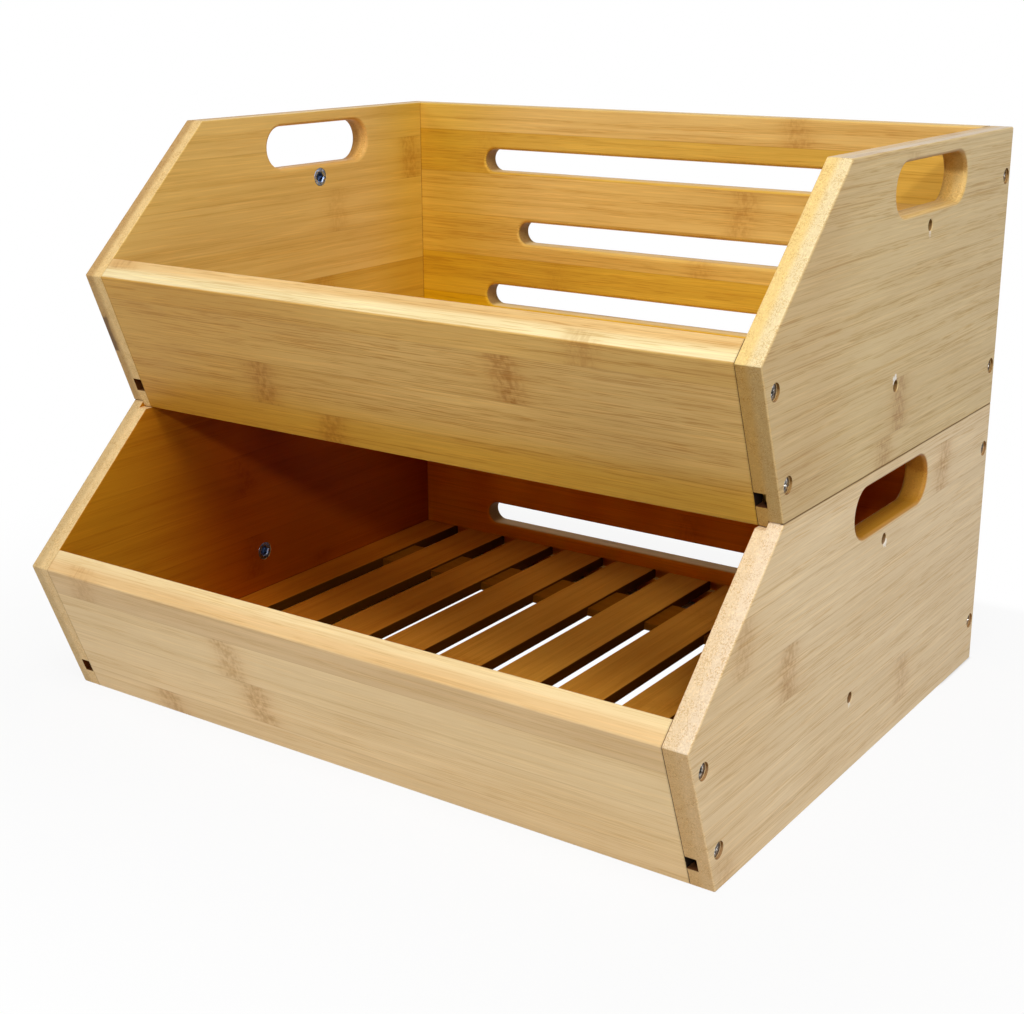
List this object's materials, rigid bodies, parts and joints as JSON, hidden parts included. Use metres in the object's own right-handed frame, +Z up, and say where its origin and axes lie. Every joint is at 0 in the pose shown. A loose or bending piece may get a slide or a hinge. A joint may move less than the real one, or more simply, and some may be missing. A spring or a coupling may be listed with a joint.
{
  "type": "stacking storage bin",
  "caption": "Stack of open-fronted bamboo storage bins with sloping sides, hand holes, slotted backs and slatted bases; the upper, shallower bin rests in rebates of the lower one and lifts off.",
  "frame": {"origin": "middle of the stack's footprint, on the floor", "axes": "+X to the right of someone facing the open front, +Y to the back, +Z up"},
  "size_m": [0.385, 0.3273, 0.2908],
  "materials": {
    "side_board": "clear satin over laminated bamboo",
    "front_board": "clear satin over laminated bamboo",
    "back_board": "clear satin over laminated bamboo",
    "slat": "clear satin over bamboo",
    "rail": "clear satin over bamboo",
    "screw": "zinc plated",
    "insert": "blue zinc plated"
  },
  "bodies": {
    "lower_bin": {"lower_left_side": "side_board", "lower_right_side": "side_board", "lower_front_board": "front_board", "lower_back_board": "back_board", "lower_slat_1": "slat", "lower_slat_2": "slat", "lower_slat_3": "slat", "lower_slat_4": "slat", "lower_slat_5": "slat", "lower_slat_6": "slat", "lower_slat_7": "slat", "lower_slat_8": "slat", "lower_slat_9": "slat", "lower_slat_10": "slat", "lower_back_rail": "rail", "lower_front_rail": "rail", "lower_front_screws": "screw", "lower_back_screws": "screw", "lower_post_inserts": "insert"},
    "upper_bin": {"upper_left_side": "side_board", "upper_right_side": "side_board", "upper_front_board": "front_board", "upper_back_board": "back_board", "upper_slat_1": "slat", "upper_slat_2": "slat", "upper_slat_3": "slat", "upper_slat_4": "slat", "upper_slat_5": "slat", "upper_slat_6": "slat", "upper_slat_7": "slat", "upper_slat_8": "slat", "upper_slat_9": "slat", "upper_slat_10": "slat", "upper_back_rail": "rail", "upper_front_rail": "rail", "upper_front_screws": "screw", "upper_back_screws": "screw", "upper_post_inserts": "insert"}
  },
  "joints": [
    {"name": "upper_bin_lift", "type": "slide", "parent": "lower_bin", "child": "upper_bin", "axis": [0, 0, 1], "range_m": [0, 0.2]}
  ]
}
